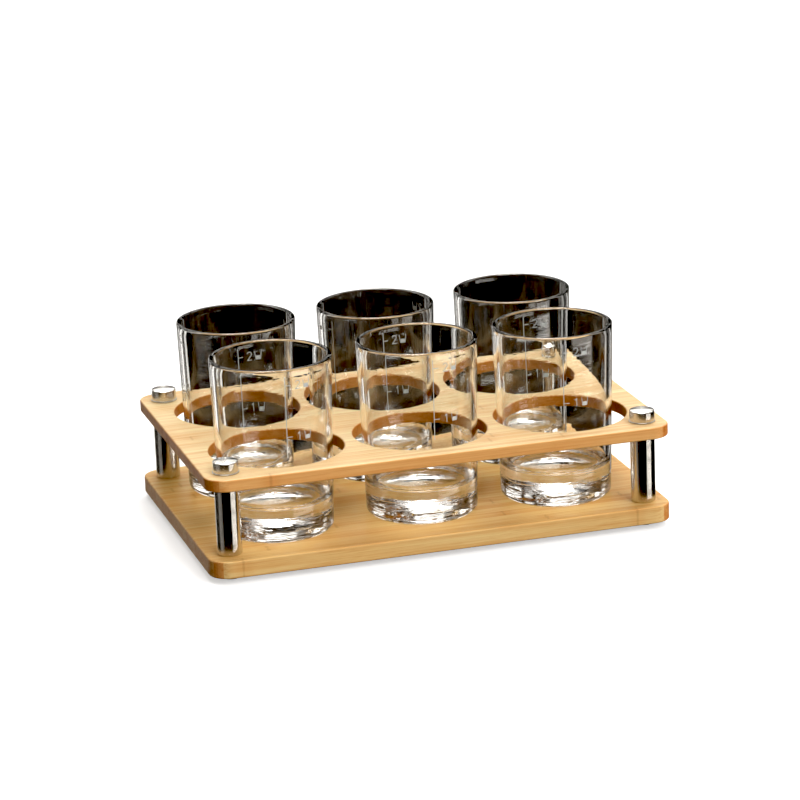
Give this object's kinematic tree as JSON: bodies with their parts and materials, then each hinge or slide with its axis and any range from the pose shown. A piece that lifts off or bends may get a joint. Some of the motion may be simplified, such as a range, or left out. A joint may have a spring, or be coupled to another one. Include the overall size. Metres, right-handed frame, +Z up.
{
  "type": "tasting rack with tumblers",
  "caption": "Two-deck bamboo rack on steel standoffs, holding clear thick-bottomed tumblers that stand in its holes and lift straight out.",
  "frame": {"origin": "on the surface the rack stands on, below the middle of the rack", "axes": "+X along the rack's length, +Y from its front to its back, +Z up"},
  "size_m": [0.23, 0.156, 0.0975],
  "materials": {
    "base_bamboo": "sanded bamboo, clear satin lacquer",
    "upper_bamboo": "sanded bamboo, clear satin lacquer",
    "standoff_steel": "polished stainless steel",
    "cap_steel": "polished stainless steel, turned top",
    "washer_steel": "plain stainless steel",
    "screw_steel": "zinc plated",
    "foot_rubber": "matt",
    "tumbler_glass": "clear polished soda-lime glass"
  },
  "bodies": {
    "rack": {"base_board": "base_bamboo", "upper_board": "upper_bamboo", "foot_front_left": "foot_rubber", "base_screw_front_left": "screw_steel", "standoff_front_left": "standoff_steel", "washer_front_left": "washer_steel", "cap_front_left": "cap_steel", "foot_front_right": "foot_rubber", "base_screw_front_right": "screw_steel", "standoff_front_right": "standoff_steel", "washer_front_right": "washer_steel", "cap_front_right": "cap_steel", "foot_back_left": "foot_rubber", "base_screw_back_left": "screw_steel", "standoff_back_left": "standoff_steel", "washer_back_left": "washer_steel", "cap_back_left": "cap_steel", "foot_back_right": "foot_rubber", "base_screw_back_right": "screw_steel", "standoff_back_right": "standoff_steel", "washer_back_right": "washer_steel", "cap_back_right": "cap_steel"},
    "tumbler_front_left": {"glass_front_left": "tumbler_glass"},
    "tumbler_front_middle": {"glass_front_middle": "tumbler_glass"},
    "tumbler_front_right": {"glass_front_right": "tumbler_glass"},
    "tumbler_back_left": {"glass_back_left": "tumbler_glass"},
    "tumbler_back_middle": {"glass_back_middle": "tumbler_glass"},
    "tumbler_back_right": {"glass_back_right": "tumbler_glass"}
  },
  "joints": [
    {"name": "lift_front_left", "type": "slide", "parent": "rack", "child": "tumbler_front_left", "axis": [0, 0, 1], "range_m": [0, 0.095]},
    {"name": "lift_front_middle", "type": "slide", "parent": "rack", "child": "tumbler_front_middle", "axis": [0, 0, 1], "range_m": [0, 0.095]},
    {"name": "lift_front_right", "type": "slide", "parent": "rack", "child": "tumbler_front_right", "axis": [0, 0, 1], "range_m": [0, 0.095]},
    {"name": "lift_back_left", "type": "slide", "parent": "rack", "child": "tumbler_back_left", "axis": [0, 0, 1], "range_m": [0, 0.095]},
    {"name": "lift_back_middle", "type": "slide", "parent": "rack", "child": "tumbler_back_middle", "axis": [0, 0, 1], "range_m": [0, 0.095]},
    {"name": "lift_back_right", "type": "slide", "parent": "rack", "child": "tumbler_back_right", "axis": [0, 0, 1], "range_m": [0, 0.095]}
  ]
}
